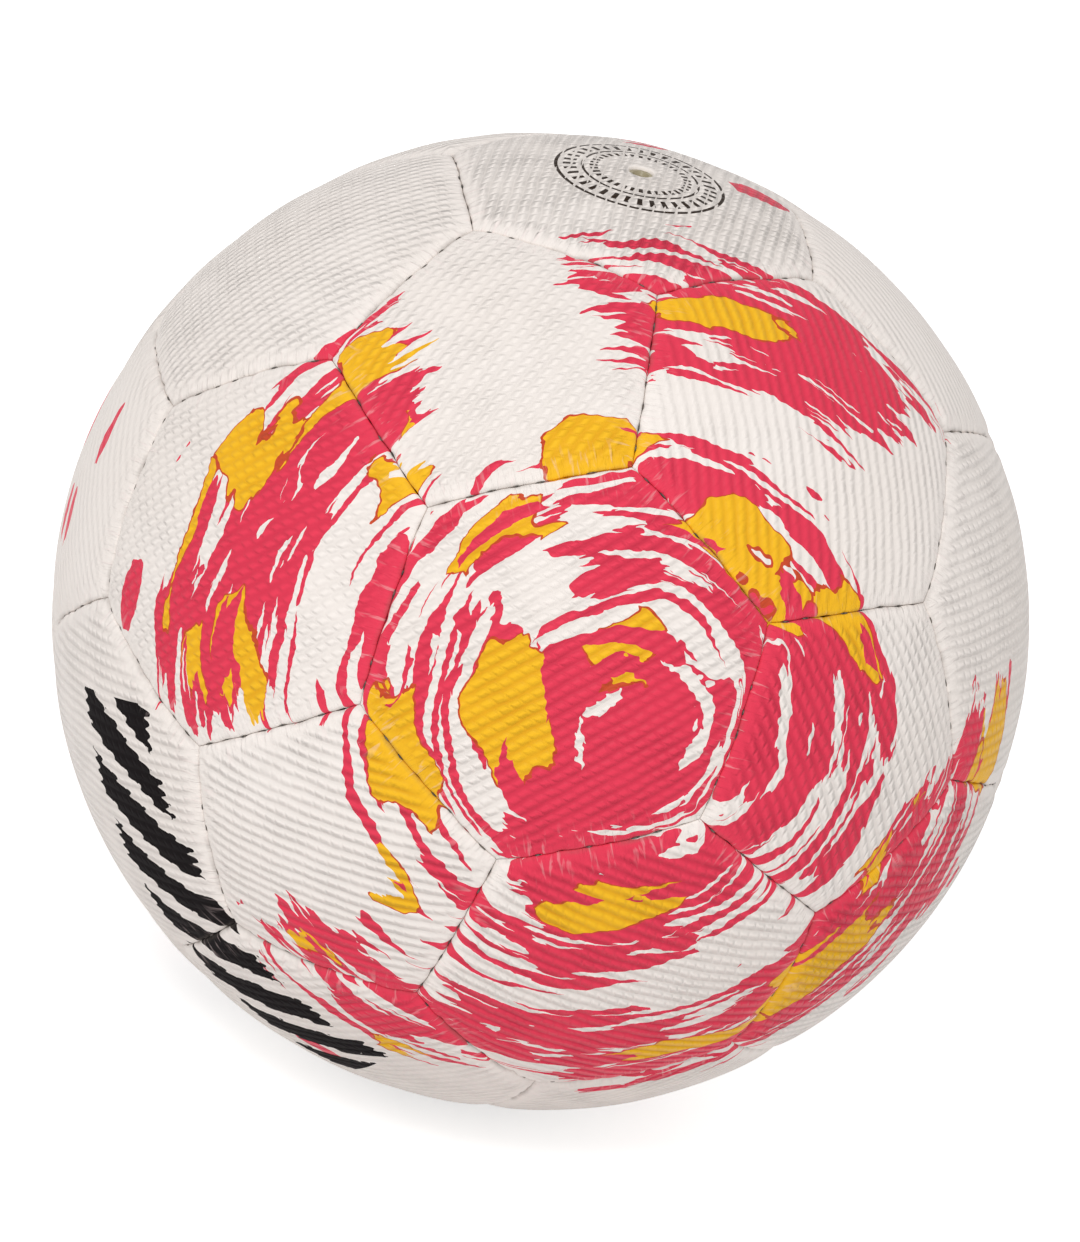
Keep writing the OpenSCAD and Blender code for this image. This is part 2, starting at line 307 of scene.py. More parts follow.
def padded_face(number, place, theta, turn, along, seam_away):
    """How high the face lies over the ball's surface: it dips to the seams and at the corners, where the
    skin gathers into folds, and its padding is never quite even."""
    _, sides, _, _ = PANELS[number]
    chance = np.random.default_rng(70 + number)
    corner_tilt = math.asin(corner_share(sides))
    to_corner = np.cos(theta) * math.cos(corner_tilt)
    to_corner += np.sin(theta) * math.sin(corner_tilt) * np.cos(math.pi / sides - np.abs(turn))
    to_corner = BALL_R * np.arccos(np.clip(to_corner, -1, 1))
    height = -SEAM_SLOPE * np.exp(-seam_away / SLOPE_REACH) - SEAM_DIP * np.exp(-seam_away / DIP_REACH)
    height -= CORNER_DIP * np.exp(-(to_corner / CORNER_REACH) ** 2)

    half_corner = math.pi * (sides - 2) / sides / 2
    from_bisector = np.arctan2(seam_away, np.maximum(SEAM_HALF - np.abs(along), 0.01)) - half_corner
    folds = (FOLDS_PER_RADIAN + chance.uniform(-1, 1)) * from_bisector
    folds += 0.8 * np.sin(place @ chance.normal(size=3) * 40)
    height += FOLD * np.exp(-((to_corner - FOLD_FROM_CORNER) / FOLD_REACH) ** 2) * np.cos(folds)

    swell = np.zeros(len(theta))
    for _ in range(SWELLS):
        wave = chance.normal(size=3)
        wave *= 2 * math.pi / (chance.uniform(*SWELL_LENGTHS) * np.linalg.norm(wave))
        swell += SWELL * np.sin(place @ wave * BALL_R + chance.uniform(0, 6.28))
    return height + swell * (1 - np.exp(-seam_away / SWELL_FROM_SEAM))


def draw_by_stitches(number, side, along, seam_away, edge, place, lift):
    """Presses the edge down and pulls it off the seam at every stitch, and lets the seam's line wander."""
    _, sides, _, _ = PANELS[number]
    for k in range(sides):
        here = side == k
        _, inward, other = seam_of(number, k)
        hand = hand_of_seam(number, other)
        s = hand["sign"] * along[here]
        pull = stitch_pull(hand, s)
        lift[here] -= edge[here] * STITCH_DIP * pull * np.exp(-seam_away[here] / STITCH_DIP_REACH)
        opening = STITCH_PULL * pull * np.exp(-seam_away[here] / STITCH_PULL_REACH)
        wander = hand["sign"] * seam_wander(hand, s) * np.exp(-seam_away[here] / WANDER_REACH)
        place[here] += ((opening + wander) / BALL_R)[:, None] * inward
    place /= np.linalg.norm(place, axis=1)[:, None]


def lay_panel(number, net, plain=False):
    """Places a net's vertices on the ball as one sewn panel, or plain. Gives the places, the grip's own
    coordinates along and across its ridges, the seam's coordinates, and how deep the grip is pressed."""
    _, sides, centre, neighbour = PANELS[number]
    turn, side, ring = net
    distance, height, outer = rings_of(sides)
    x, y = panel_axes(centre, neighbour)
    tilt = side_tilt(sides)
    lift = height[ring].copy()
    theta = tilt_of(distance[ring], turn, tilt)
    hub = np.zeros(len(ring), bool)
    if number == 0 and not plain:
        hub = sink_valve_hole(ring, turn, tilt, distance, theta, lift)
    theta[ring == -1] = 0
    lift[ring == -1] = -SKIN

    azimuth = turn + side * 2 * math.pi / sides
    local = np.stack([np.sin(theta) * np.cos(azimuth), np.sin(theta) * np.sin(azimuth), np.cos(theta)], 1)
    place = local @ np.array([x, y, centre])
    towards_side = np.sin(theta) * np.cos(turn)
    over_side = towards_side * math.sin(tilt) + np.cos(theta) * math.cos(tilt)
    along = BALL_R * np.arctan2(np.sin(theta) * np.sin(turn), over_side)
    seam_away = np.arcsin(np.clip(math.sin(tilt) * np.cos(theta) - math.cos(tilt) * towards_side, -1, 1))
    seam_away = np.maximum(BALL_R * seam_away, 0)

    if not plain:
        # The face moves by all that sewing does, and its turned-in edge by less the deeper it lies
        outside = (ring >= 0) & (ring <= outer)
        edge = np.where(outside, 1 + np.minimum(lift, 0) / TURNED_IN, 0)
        lift += edge * padded_face(number, place, theta, turn, along, seam_away)
        draw_by_stitches(number, side, along, seam_away, edge, place, lift)

    c, s = math.cos(ridge_turn(number)), math.sin(ridge_turn(number))
    flat = BALL_R * theta[:, None] * np.stack([np.cos(azimuth), np.sin(azimuth)], 1)
    grip = np.stack([c * flat[:, 0] + s * flat[:, 1], -s * flat[:, 0] + c * flat[:, 1]], 1)
    seam = np.stack([np.abs(along) + CREASE_STRETCH * number, seam_away], 1)
    pressed = grip_depth(number) * smooth_step(*GRIP_FADE, seam_away) * np.where(hub, 0, 1)
    return place * (BALL_R + lift)[:, None] * MM, grip, seam, pressed


def srgb(code):
    """A colour written as sRGB hex, turned to linear."""
    values = [int(code[i:i + 2], 16) / 255 for i in (0, 2, 4)]
    return tuple(v / 12.92 if v <= 0.04045 else ((v + 0.055) / 1.055) ** 2.4 for v in values) + (1.0,)


def add(tree, kind, inputs=(), stops=(), out=0, **settings):
    """Adds a shader node with its settings, a ramp's stops, its values and its links, and gives one of its
    outputs."""
    new = tree.nodes.new(f"ShaderNode{kind}")
    for name, value in settings.items():
        setattr(new, name, value)
    for n, (position, level) in enumerate(stops):
        element = new.color_ramp.elements[n] if n < 2 else new.color_ramp.elements.new(position)
        element.position = position
        element.color = (level, level, level, 1)
    for socket, value in dict(inputs).items():
        if isinstance(value, bpy.types.NodeSocket):
            tree.links.new(value, new.inputs[socket])
        else:
            new.inputs[socket].default_value = value
    return new.outputs[out] if new.outputs else new


def start(name):
    """An empty material."""
    material = bpy.data.materials.new(name)
    material.use_nodes = True
    tree = material.node_tree
    tree.nodes.clear()
    return material, tree


# The camera stands where the photographer's did: the pentagon and hexagon below the valve face it
TO_CAMERA = Vector((0.2823, -0.8693, 0.4059)).normalized()
CAMERA_AWAY = 13 * BALL_R * MM
LEAN = math.radians(12.7)
FILM, LENS = 36, 183.9


def camera_axes():
    """The picture's right and up."""
    level = Vector((0, 0, 1)).cross(TO_CAMERA).normalized()
    upright = TO_CAMERA.cross(level)
    right = math.cos(LEAN) * level + math.sin(LEAN) * upright
    up = math.cos(LEAN) * upright - math.sin(LEAN) * level
    return right, up


def make_camera():
    right, up = camera_axes()
    data = bpy.data.cameras.new("camera")
    data.sensor_width = FILM
    data.lens = LENS
    data.clip_start = 0.1
    camera = bpy.data.objects.new("camera", data)
    bpy.context.scene.collection.objects.link(camera)
    turned = Matrix((right, up, TO_CAMERA)).transposed().to_4x4()
    camera.matrix_world = Matrix.Translation(TO_CAMERA * CAMERA_AWAY) @ turned
    bpy.context.scene.camera = camera


# Direction of the ridges and depth of the grip on every panel, as cut from the sheet. The leans are in
# degrees up from the picture's level, for the panels that face the camera
RIDGE_LEANS = {"valve_panel": 70, "hexagon_panel_02": 99, "hexagon_panel_03": 29, "hexagon_panel_04": 30,
               "hexagon_panel_05": 29, "hexagon_panel_08": 34, "hexagon_panel_14": 150,
               "hexagon_panel_15": 16, "hexagon_panel_16": 163, "hexagon_panel_19": 172,
               "pentagon_panel_01": 53, "pentagon_panel_06": 110, "pentagon_panel_09": 161}
PRESS_OF_PANELS = {"valve_panel": 1.4, "hexagon_panel_02": 0.59, "hexagon_panel_03": 0.93,
                   "hexagon_panel_04": 0.64, "hexagon_panel_05": 0.83, "hexagon_panel_08": 0.81,
                   "hexagon_panel_15": 1.3, "hexagon_panel_16": 0.98, "pentagon_panel_01": 0.7,
                   "pentagon_panel_02": 0.4, "pentagon_panel_05": 0.3, "pentagon_panel_09": 0.98}


def ridge_turn(number):
    """The way a panel's ridges run, from its own x direction."""
    name, _, centre, neighbour = PANELS[number]
    if name not in RIDGE_LEANS:
        return np.random.default_rng(number).uniform(0, math.pi)
    lean = math.radians(RIDGE_LEANS[name])
    picture = np.array(camera_axes())
    on_picture = picture @ np.array(panel_axes(centre, neighbour)).T
    along_x, along_y = np.linalg.solve(on_picture, (math.cos(lean), math.sin(lean)))
    return math.atan2(along_y, along_x)


# How far the ridges break up into separate grains on the panels that face the camera
BEADED_PANELS = {"valve_panel": 0.55, "hexagon_panel_02": 0.45, "hexagon_panel_03": 0.85,
                 "hexagon_panel_04": 1, "hexagon_panel_05": 0.7, "hexagon_panel_16": 0.5,
                 "pentagon_panel_01": 0.9, "pentagon_panel_06": 0.7, "pentagon_panel_09": 0.35}


def grip_beading(number):
    """How far a panel's ridges break up into grains."""
    return BEADED_PANELS.get(PANELS[number][0], np.random.default_rng(number + 90).uniform(0.3, 0.8))


def grip_depth(number):
    """How deep a panel's grip is pressed."""
    name = PANELS[number][0]
    return PRESS_OF_PANELS.get(name, np.random.default_rng(number + 50).uniform(0.85, 1.1))


def grip_relief(tree):
    """Rows of raised grains that lie aslant in their row, as the strands of a rope do. Gives the relief's
    height and how deep it was pressed."""
    uv = add(tree, "UVMap", uv_map="grip")
    warp = add(tree, "TexNoise", {"Vector": uv, "Scale": 1 / 6, "Detail": 1}, noise_dimensions="2D",
               out="Color")
    bent = add(tree, "VectorMath", {0: warp, 1: (0.5, 0.5, 0.5)}, operation="SUBTRACT")
    bent = add(tree, "VectorMath", {0: bent, 1: ROW_BEND, 2: uv}, operation="MULTIPLY_ADD")
    split = add(tree, "SeparateXYZ", {0: bent}).node.outputs
    row = add(tree, "Math", {0: split["Y"], 1: 1 / RIDGE_PITCH}, operation="MULTIPLY")
    in_row = add(tree, "Math", {0: row}, operation="FRACT")
    shift = add(tree, "Math", {0: in_row, 1: GRAIN_SLANT}, operation="MULTIPLY")
    grain = add(tree, "Math", {0: split["X"], 1: 1 / GRAIN_LENGTH, 2: shift}, operation="MULTIPLY_ADD")
    across = add(tree, "Math", {0: in_row, 1: math.pi}, operation="MULTIPLY")
    across = add(tree, "Math", {0: across}, operation="SINE")
    across = add(tree, "Math", {0: across, 1: GRAIN_ROUNDNESS}, operation="POWER")
    lengthways = add(tree, "Math", {0: grain, 1: math.pi}, operation="MULTIPLY")
    lengthways = add(tree, "Math", {0: lengthways}, operation="SINE")
    lengthways = add(tree, "Math", {0: lengthways}, operation="ABSOLUTE")
    beaded = add(tree, "Attribute", attribute_name="beaded", attribute_type="GEOMETRY", out="Fac")
    dip = add(tree, "MapRange",
              {"Value": lengthways, "From Min": 0, "From Max": 0.85, "To Min": 0.8, "To Max": 0},
              interpolation_type="SMOOTHSTEP")
    dip = add(tree, "Math", {0: dip, 1: beaded}, operation="MULTIPLY")
    notch = add(tree, "Math", {0: 1, 1: dip}, operation="SUBTRACT")
    relief = add(tree, "Math", {0: across, 1: notch}, operation="MULTIPLY")
    pressed = add(tree, "Attribute", attribute_name="pressed", attribute_type="GEOMETRY", out="Fac")
    rubbed = add(tree, "TexNoise", {"Vector": uv, "Scale": 1 / 9, "Detail": 2}, noise_dimensions="2D")
    rubbed = add(tree, "MapRange",
                 {"Value": rubbed, "From Min": 0.3, "From Max": 0.7, "To Min": 0.6, "To Max": 1.1})
    pressed = add(tree, "Math", {0: pressed, 1: rubbed}, operation="MULTIPLY")
    height = add(tree, "Math", {0: relief, 1: pressed}, operation="MULTIPLY")
    return height, pressed


def seam_creases(tree):
    """Creases that run in from the seams and die out over some millimetres. Gives the distance from the
    seam, the crease pattern and its fading."""
    uv = add(tree, "UVMap", uv_map="seam")
    from_seam = add(tree, "SeparateXYZ", {0: uv}, out="Y")
    stretched = add(tree, "VectorMath", {0: uv, 1: (1, 0.16, 0)}, operation="MULTIPLY")
    crease = add(tree, "TexNoise",
                 {"Vector": stretched, "Scale": 1 / 1.2, "Detail": 3, "Roughness": 0.6, "Distortion": 0.4},
                 noise_dimensions="2D")
    fade = add(tree, "MapRange",
               {"Value": from_seam, "From Min": 0.3, "From Max": 7, "To Min": 1, "To Max": 0},
               interpolation_type="SMOOTHSTEP")
    return from_seam, crease, fade


# How far the print's hub lies to the picture's right of the front hexagon's middle and above it, as shares
# of the radius, and how far from it the rings begin, in millimetres
HUB_ASIDE = (0.13, -0.1)
EYE = 19

# How far the ring coordinates are drawn together, so that a shape lies along its ring
RING_DRAW = 0.42 * BALL_R

# How far a shape's edge follows the grain, the noises that tear it, each with size in millimetres and reach,
# and the share of the reach that goes outwards
EDGE_ON_GRAIN = 0.35
TEARS = ((9, 9), (2, 1.8))
TEAR_OUTWARDS = 0.6

# Bristles of the brush: their width, how they are drawn along the ring, and how far they reach
BRISTLE = 1.8
BRISTLE_DRAW = 0.1
BRISTLE_REACH = 9

# Gaps in the brushed ink: their size, their draw along the ring and the part that stays filled. Then the
# share of the way to the ball's edge from which stretches of a ring stay bare, and the scale of those
GAP = 2.8
GAP_DRAW = 0.28
FILLED_BELOW = 0.585
OUTER_RING_FROM = 0.39
BARE_SCALE = 1.15

# Inks as colour on the grains and, as painted shade, darker between them, and the outline of the yellow with
# its width
CRIMSON = ("E53F58", "C53249")
YELLOW = ("F4BB28", "DA9B1C")
OUTLINE_INK = "C64C2E"
OUTLINE = 0.22

# The printed layers, from the first laid to the last: size of the shards, their own draw along the ring,
# shift of their pattern, the radius of a round spot, whether brushed gaps are missing from them, whether
# they are outlined, and the chance of one at a share of the way from the hub to the ball's edge
LAYERS = (
    {"size": 10, "draw": 1, "shift": 3, "ink": CRIMSON, "gaps": True,
     "chances": ((0, 0.8), (0.1, 0.7), (0.15, 0.8), (0.27, 0.8), (0.33, 0.2), (0.44, 0), (0.48, 0.8),
                 (0.6, 0.85), (0.66, 0))},
    {"size": 1.5, "draw": 0.16, "shift": 17, "ink": CRIMSON,
     "chances": ((0, 0), (0.1, 0.3), (0.37, 0.4), (0.44, 0.1), (0.5, 0.5), (0.64, 0.45), (0.7, 0))},
    {"size": 14, "draw": 1, "shift": 71, "ink": CRIMSON, "spot": 2.7,
     "chances": ((0, 0.8), (1, 0.8))},
    {"size": 9, "draw": 1, "shift": 47, "ink": YELLOW, "outlined": True,
     "chances": ((0, 0), (0.12, 0.05), (0.2, 0.1), (0.28, 0.26), (0.38, 0.2), (0.44, 0), (0.52, 0.17),
                 (0.62, 0.3), (0.67, 0))},
    {"size": 2.4, "draw": 0.34, "shift": 29, "ink": CRIMSON,
     "chances": ((0, 0), (0.14, 0.09), (0.38, 0.1), (0.44, 0), (0.5, 0.1), (0.62, 0.1), (0.67, 0))},
)

# The black bars: how many would go round, how much of their pitch is black, their lean, how far they tear on
# the grain, the middle and half the width of their ring, and the bearing and half the angle that they take
# up
BARS = 40
BAR_SHARE = 0.62
BAR_LEAN = 0.055
BAR_TEAR = 1.6
BAR_RING, BAR_HALF_WIDTH = 113, 12
BAR_BEARING, BAR_HALF_ANGLE = math.radians(-147), math.radians(30)
BAR_INK = "1A1617"

# The marks round the valve: ticks in a round, their rows as radius, half width and black share, the lines as
# radius and half width, how much of them the press missed, and the radius that other print keeps clear of
TICKS = 36
TICK_ROWS = ((13.5, 1.2, 0.42), (9, 0.75, 0.5))
VALVE_LINES = ((16, 0.33), (11.1, 0.26))
MISSED_SIZE = 2.2
VALVE_CLEAR = 20
VALVE_INK = "33261C"


def hub_axes():
    """East, north and outwards at the print's hub, as the camera sees them."""
    right, up = (np.array(axis) for axis in camera_axes())
    faced = CENTRES[np.argmax(CENTRES[:20] @ np.array(TO_CAMERA))]
    front = unit(faced + HUB_ASIDE[0] * right + HUB_ASIDE[1] * up)
    east = unit(right - (right @ front) * front)
    return east, np.cross(front, east), front


def round_the_hub(tree, place, grip_height):
    """Coordinates of the print: round the hub by the hexagon that faces the camera, and round the point
    behind it, drawn together along the ring so that shapes lie along it, with a torn edge that follows the
    grip. Gives them, the same as a dry brush pulls them, and the way east and north of the hub."""
    ways = [add(tree, "VectorMath", {0: place, 1: tuple(axis / (BALL_R * MM))}, operation="DOT_PRODUCT",
                out="Value")
            for axis in hub_axes()]
    facing = add(tree, "Math", {0: ways[2]}, operation="ABSOLUTE")
    from_hub = add(tree, "Math", {0: facing}, operation="ARCCOSINE")
    from_hub = add(tree, "Math", {0: from_hub, 1: BALL_R}, operation="MULTIPLY")
    # The hub itself has no rings: the distance starts level there
    squared = add(tree, "Math", {0: from_hub, 1: from_hub, 2: EYE ** 2}, operation="MULTIPLY_ADD")
    from_hub = add(tree, "Math", {0: squared}, operation="SQRT")
    flat_way = add(tree, "CombineXYZ", {0: ways[0], 1: ways[1]})
    jag = add(tree, "Math", {0: grip_height, 1: EDGE_ON_GRAIN, 2: from_hub}, operation="MULTIPLY_ADD")
    outwards = add(tree, "CombineXYZ", {2: jag})
    drawn = {0: flat_way, 1: (RING_DRAW, RING_DRAW, 0), 2: outwards}
    drawn = add(tree, "VectorMath", drawn, operation="MULTIPLY_ADD")
    for size, reach in TEARS:
        tear = add(tree, "TexNoise", {"Vector": drawn, "Scale": 1 / size, "Detail": 1}, out="Color")
        tear = add(tree, "VectorMath", {0: tear, 1: (0.5, 0.5, 0.5)}, operation="SUBTRACT")
        torn = {0: tear, 1: (reach, reach, reach * TEAR_OUTWARDS), 2: drawn}
        drawn = add(tree, "VectorMath", torn, operation="MULTIPLY_ADD")
    # Bristles of a dry brush end at different lengths
    bristles = add(tree, "VectorMath", {0: drawn, 1: (BRISTLE_DRAW, BRISTLE_DRAW, 1)}, operation="MULTIPLY")
    bristles = add(tree, "TexNoise", {"Vector": bristles, "Scale": 1 / BRISTLE, "Detail": 1.5}, out="Color")
    bristles = add(tree, "VectorMath", {0: bristles, 1: (0.5, 0.5, 0.5)}, operation="SUBTRACT")
    brushed = {0: bristles, 1: (BRISTLE_REACH, BRISTLE_REACH, 0), 2: drawn}
    brushed = add(tree, "VectorMath", brushed, operation="MULTIPLY_ADD")
    return drawn, brushed, flat_way


def printed_shards(tree, coat, valley, drawn, brushed):
    """The crimson and yellow print, layer by layer. Gives the colour and where there is ink."""
    # Long gaps that the brush left in the crimson, and stretches of the outer ring that stay bare
    streaks = add(tree, "VectorMath", {0: brushed, 1: (GAP_DRAW, GAP_DRAW, 1)}, operation="MULTIPLY")
    streaks = add(tree, "TexNoise", {"Vector": streaks, "Scale": 1 / GAP, "Detail": 2, "Roughness": 0.5})
    filled = add(tree, "Math", {0: streaks, 1: FILLED_BELOW}, operation="LESS_THAN")
    arcs = add(tree, "VectorMath", {0: brushed, 1: (1 / RING_DRAW, 1 / RING_DRAW, 0)}, operation="MULTIPLY")
    arcs = add(tree, "TexNoise", {"Vector": arcs, "Scale": BARE_SCALE, "Detail": 0})
    arcs = add(tree, "MapRange",
               {"Value": arcs, "From Min": 0.44, "From Max": 0.52, "To Min": 0, "To Max": 1})

    ink, inked = coat, None
    for layer in LAYERS:
        size, draw, shift = layer["size"], layer["draw"], layer["shift"]
        moved = {0: brushed if "gaps" in layer else drawn, 1: (draw, draw, 1), 2: (shift, -shift, 0)}
        moved = add(tree, "VectorMath", moved, operation="MULTIPLY_ADD")
        cells = add(tree, "TexVoronoi", {"Vector": moved, "Scale": 1 / size}).node.outputs
        lot = add(tree, "SeparateColor", {0: cells["Color"]}, out="Red")
        heart = add(tree, "SeparateXYZ", {0: cells["Position"]}, out="Z")
        share = add(tree, "Math", {0: heart, 1: 1 / (math.pi / 2 * BALL_R)}, operation="MULTIPLY")
        odds = add(tree, "ValToRGB", {0: share}, stops=layer["chances"])
        outer = add(tree, "Math", {0: share, 1: OUTER_RING_FROM}, operation="GREATER_THAN")
        bare = add(tree, "Math", {0: 1, 1: arcs}, operation="SUBTRACT")
        bare = add(tree, "Math", {0: outer, 1: bare}, operation="MULTIPLY")
        odds = add(tree, "Math", {0: odds, 1: bare}, operation="SUBTRACT")
        printed = add(tree, "Math", {0: lot, 1: odds}, operation="LESS_THAN")
        if "spot" in layer:
            near = add(tree, "Math", {0: cells["Distance"], 1: layer["spot"] / size}, operation="LESS_THAN")
            printed = add(tree, "Math", {0: printed, 1: near}, operation="MULTIPLY")
        if "gaps" in layer:
            printed = add(tree, "Math", {0: printed, 1: filled}, operation="MULTIPLY")
        # Each ink has a lit copy on the grains and a darker copy between them, which is painted shade in the
        # valleys
        on_grain, between = layer["ink"]
        colour = add(tree, "Mix", {"Factor": valley, 6: srgb(on_grain), 7: srgb(between)}, data_type="RGBA",
                     out=2)
        if "outlined" in layer:
            edge = add(tree, "TexVoronoi", {"Vector": moved, "Scale": 1 / size}, feature="DISTANCE_TO_EDGE")
            edge = add(tree, "Math", {0: edge, 1: OUTLINE / size}, operation="LESS_THAN")
            colour = add(tree, "Mix", {"Factor": edge, 6: colour, 7: srgb(OUTLINE_INK)}, data_type="RGBA",
                         out=2)
        ink = add(tree, "Mix", {"Factor": printed, 6: ink, 7: colour}, data_type="RGBA", out=2)
        inked = printed if inked is None else add(tree, "Math", {0: inked, 1: printed}, operation="MAXIMUM")
    return ink, inked


def black_bars(tree, drawn, grip_height, flat_way):
    """A row of slanted black bars with torn ends, in the lower left quarter of the outermost ring."""
    split = add(tree, "SeparateXYZ", {0: flat_way}).node.outputs
    bearing = add(tree, "Math", {0: split["Y"], 1: split["X"]}, operation="ARCTAN2")
    torn = add(tree, "SeparateXYZ", {0: drawn}, out="Z")
    torn = add(tree, "Math", {0: grip_height, 1: BAR_TEAR, 2: torn}, operation="MULTIPLY_ADD")
    bars = add(tree, "Math", {0: bearing, 1: BARS / (2 * math.pi)}, operation="MULTIPLY")
    bars = add(tree, "Math", {0: torn, 1: BAR_LEAN, 2: bars}, operation="MULTIPLY_ADD")
    bars = add(tree, "Math", {0: bars}, operation="FRACT")
    bars = add(tree, "Math", {0: bars, 1: BAR_SHARE}, operation="LESS_THAN")
    band = add(tree, "Math", {0: torn, 1: BAR_RING, 2: BAR_HALF_WIDTH}, operation="COMPARE")
    sector = add(tree, "Math", {0: bearing, 1: BAR_BEARING, 2: BAR_HALF_ANGLE}, operation="COMPARE")
    bars = add(tree, "Math", {0: bars, 1: band}, operation="MULTIPLY")
    return add(tree, "Math", {0: bars, 1: sector}, operation="MULTIPLY")


def valve_rings(tree, place, grip_height):
    """Two thin rings and two rows of ticks round the valve, missing where the ridges fall away. Gives them,
    and the round that other print keeps clear of."""
    round_valve = add(tree, "VectorMath", {0: place, 1: (1 / MM, 1 / MM, 0)}, operation="MULTIPLY")
    away = add(tree, "VectorMath", {0: round_valve}, operation="LENGTH", out="Value")
    split = add(tree, "SeparateXYZ", {0: round_valve}).node.outputs
    clock = add(tree, "Math", {0: split["Y"], 1: split["X"]}, operation="ARCTAN2")
    clock = add(tree, "Math", {0: clock, 1: TICKS / (2 * math.pi)}, operation="MULTIPLY")
    clock = add(tree, "Math", {0: clock}, operation="FRACT")
    marks = None
    for radius, half_width, tick_share in TICK_ROWS:
        tick = add(tree, "Math", {0: clock, 1: tick_share}, operation="LESS_THAN")
        row = add(tree, "Math", {0: away, 1: radius, 2: half_width}, operation="COMPARE")
        row = add(tree, "Math", {0: row, 1: tick}, operation="MULTIPLY")
        marks = row if marks is None else add(tree, "Math", {0: marks, 1: row}, operation="MAXIMUM")
    for radius, half_width in VALVE_LINES:
        ring = add(tree, "Math", {0: away, 1: radius, 2: half_width}, operation="COMPARE")
        marks = add(tree, "Math", {0: marks, 1: ring}, operation="MAXIMUM")
    above = add(tree, "SeparateXYZ", {0: place}, out="Z")
    above = add(tree, "Math", {0: above, 1: 0}, operation="GREATER_THAN")
    marks = add(tree, "Math", {0: marks, 1: above}, operation="MULTIPLY")
    missed = add(tree, "TexNoise", {"Vector": place, "Scale": 1 / (MISSED_SIZE * MM), "Detail": 2})
    missed = add(tree, "Math", {0: missed, 1: 0.9, 2: grip_height}, operation="MULTIPLY_ADD")
    kept = add(tree, "Math", {0: missed, 1: 0.55}, operation="GREATER_THAN")
    clear = add(tree, "Math", {0: away, 1: VALVE_CLEAR}, operation="LESS_THAN")
    clear = add(tree, "Math", {0: clear, 1: above}, operation="MULTIPLY")
    return add(tree, "Math", {0: marks, 1: kept}, operation="MULTIPLY"), clear


